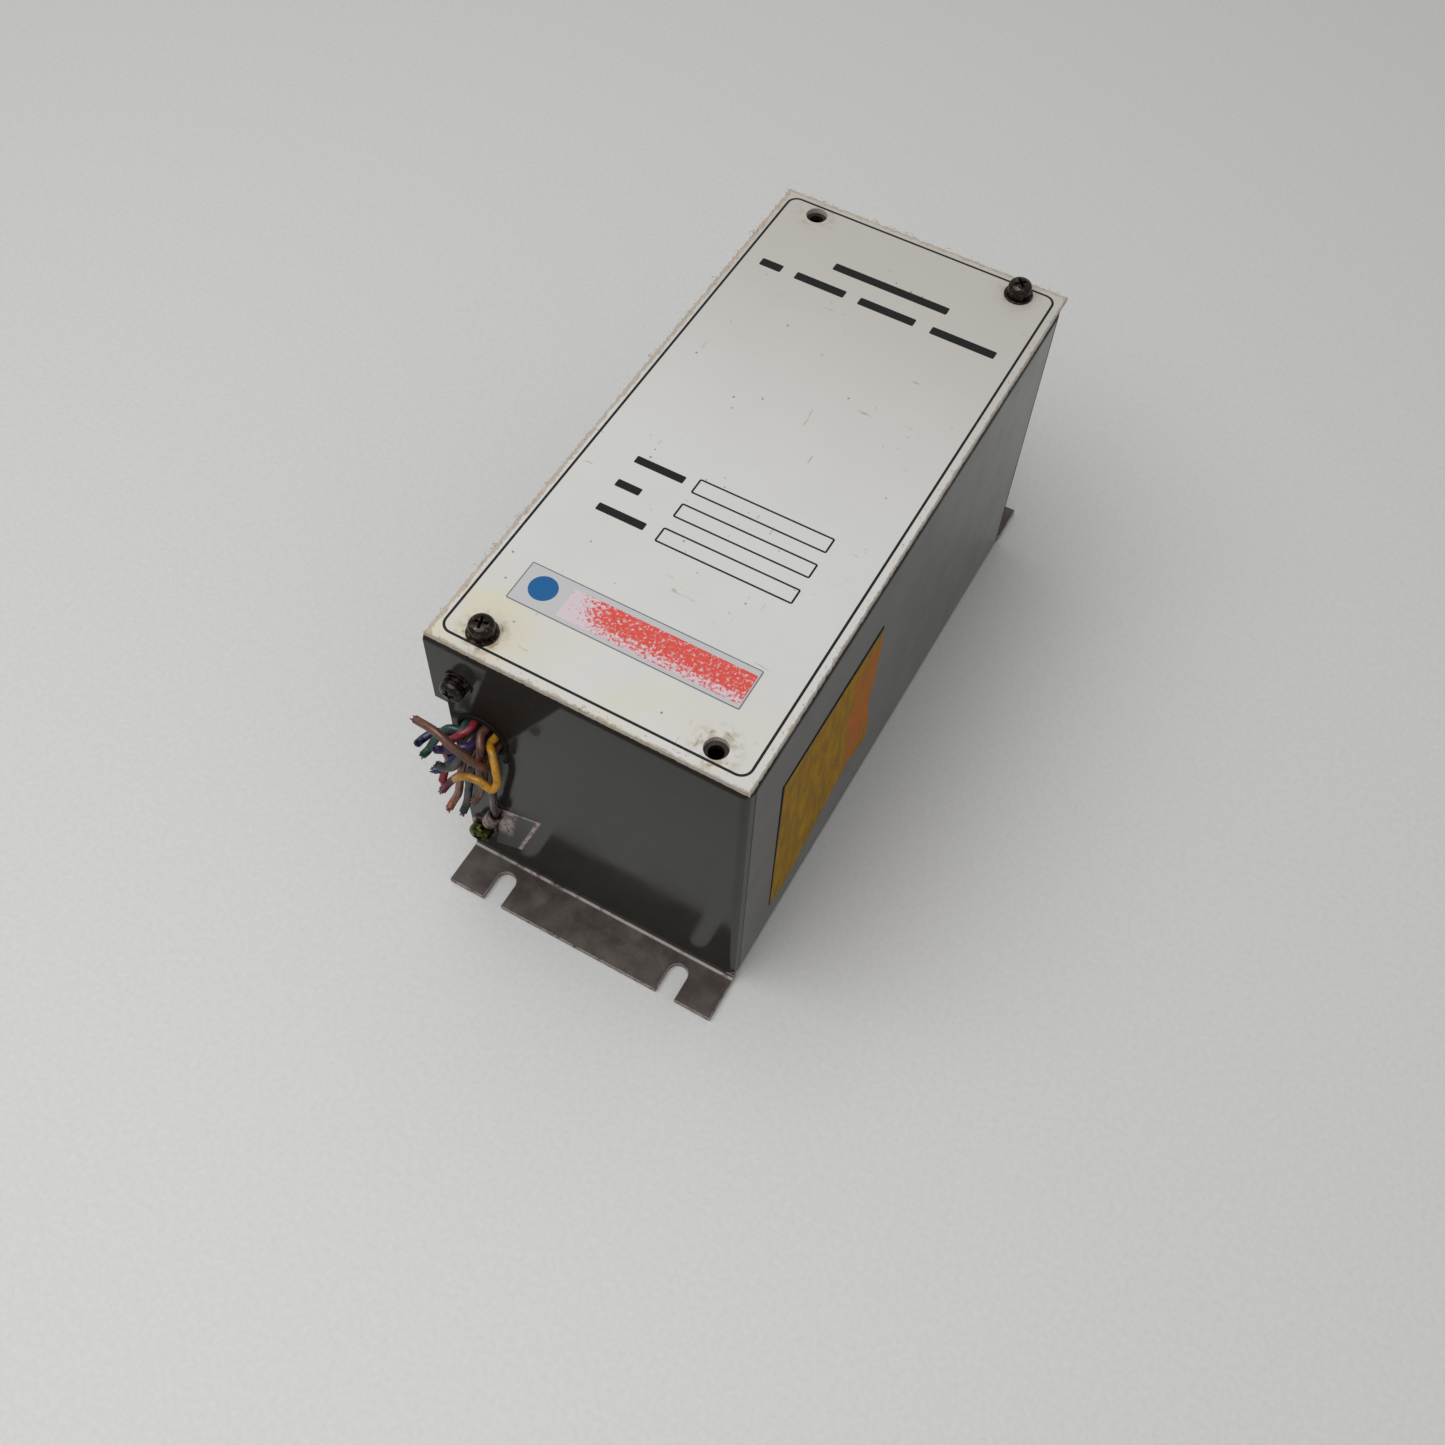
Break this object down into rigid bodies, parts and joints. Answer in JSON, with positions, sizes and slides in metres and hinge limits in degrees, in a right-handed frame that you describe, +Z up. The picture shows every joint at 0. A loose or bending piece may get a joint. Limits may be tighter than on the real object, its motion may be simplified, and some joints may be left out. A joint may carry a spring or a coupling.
{
  "type": "solid state relay",
  "caption": "Boxed solid state relay: folded sheet-steel housing with slotted feet, screwed lid and a bundle of cut wire tails with a ring ground terminal.",
  "frame": {"origin": "on the floor plane, on the underside of the base below the middle of the box", "axes": "+X across the box to the right, +Y along the box away from the wires, +Z up; the wires leave the -Y wall"},
  "size_m": [0.0839, 0.192, 0.1021],
  "materials": {
    "grey_paint": "glossy dark grey enamel, chipped at the sheet edges",
    "white_paint": "satin off-white coating, stained",
    "blackened_steel": "blackened steel, rusty",
    "brass": "yellow passivated, shiny",
    "tinned_copper": "tinned copper, pinkish",
    "black_rubber": "dusty black rubber",
    "aluminium": "milled",
    "zinc": "zinc plated",
    "black_plastic": "moulded",
    "white_plastic": "moulded nylon",
    "circuit_board": "glass-fibre board with green mask",
    "copper_winding": "varnished copper wire",
    "capacitor_sleeve": "shrunk sleeve",
    "varistor_coating": "dipped epoxy",
    "fuse_glass": "clear glass with metal caps",
    "yellow_insulation": "dusty wire insulation",
    "brown_insulation": "dusty wire insulation",
    "red_insulation": "dusty wire insulation",
    "green_insulation": "dusty wire insulation",
    "navy_insulation": "dusty wire insulation",
    "blue_insulation": "dusty wire insulation",
    "maroon_insulation": "dusty wire insulation",
    "ground_insulation": "dusty wire insulation",
    "stiff_brown_insulation": "dusty wire insulation",
    "purple_insulation": "dusty wire insulation",
    "grey_insulation": "dusty wire insulation",
    "orange_insulation": "dusty wire insulation",
    "black_insulation": "dusty wire insulation"
  },
  "bodies": {
    "housing": {"front_wall": "grey_paint", "rear_wall": "grey_paint", "chassis": "grey_paint", "left_side_cover": "grey_paint", "cover_flat_washer_front": "blackened_steel", "cover_spring_washer_front": "blackened_steel", "cover_screw_front": "blackened_steel", "cover_screw_rear_lower": "blackened_steel", "cover_screw_rear_upper": "blackened_steel", "ground_spring_washer": "blackened_steel", "ground_ring_terminal": "tinned_copper", "ground_screw": "brass", "cable_grommet": "black_rubber", "wire_yellow": "yellow_insulation", "wire_brown": "brown_insulation", "wire_red": "red_insulation", "wire_green": "green_insulation", "wire_navy": "navy_insulation", "wire_blue": "blue_insulation", "wire_maroon": "maroon_insulation", "wire_ground": "ground_insulation", "wire_stiff_brown": "stiff_brown_insulation", "wire_purple": "purple_insulation", "wire_grey": "grey_insulation", "wire_orange": "orange_insulation", "wire_black": "black_insulation", "heat_spreader": "aluminium", "module_base_front": "aluminium", "module_case_front": "black_plastic", "module_screw_front_1": "zinc", "module_terminal_front_1": "brass", "module_screw_front_2": "zinc", "module_terminal_front_2": "brass", "module_base_rear": "aluminium", "module_case_rear": "black_plastic", "module_screw_rear_1": "zinc", "module_terminal_rear_1": "brass", "module_screw_rear_2": "zinc", "module_terminal_rear_2": "brass", "control_board": "circuit_board", "board_post_1": "brass", "board_post_2": "brass", "board_post_3": "brass", "board_post_4": "brass", "harness_connector": "white_plastic", "transformer_core": "zinc", "transformer_winding": "copper_winding", "capacitor": "capacitor_sleeve", "varistor": "varistor_coating", "fuse_holder": "black_plastic", "fuse": "fuse_glass"},
    "lid": {"lid_plate": "white_paint", "lid_flat_washer_front_left": "blackened_steel", "lid_spring_washer_front_left": "blackened_steel", "lid_screw_front_left": "blackened_steel", "lid_flat_washer_rear_right": "blackened_steel", "lid_spring_washer_rear_right": "blackened_steel", "lid_screw_rear_right": "blackened_steel"}
  },
  "joints": [
    {"name": "lid_lift", "type": "slide", "parent": "housing", "child": "lid", "axis": [0, 0, 1], "range_m": [0, 0.06]}
  ]
}
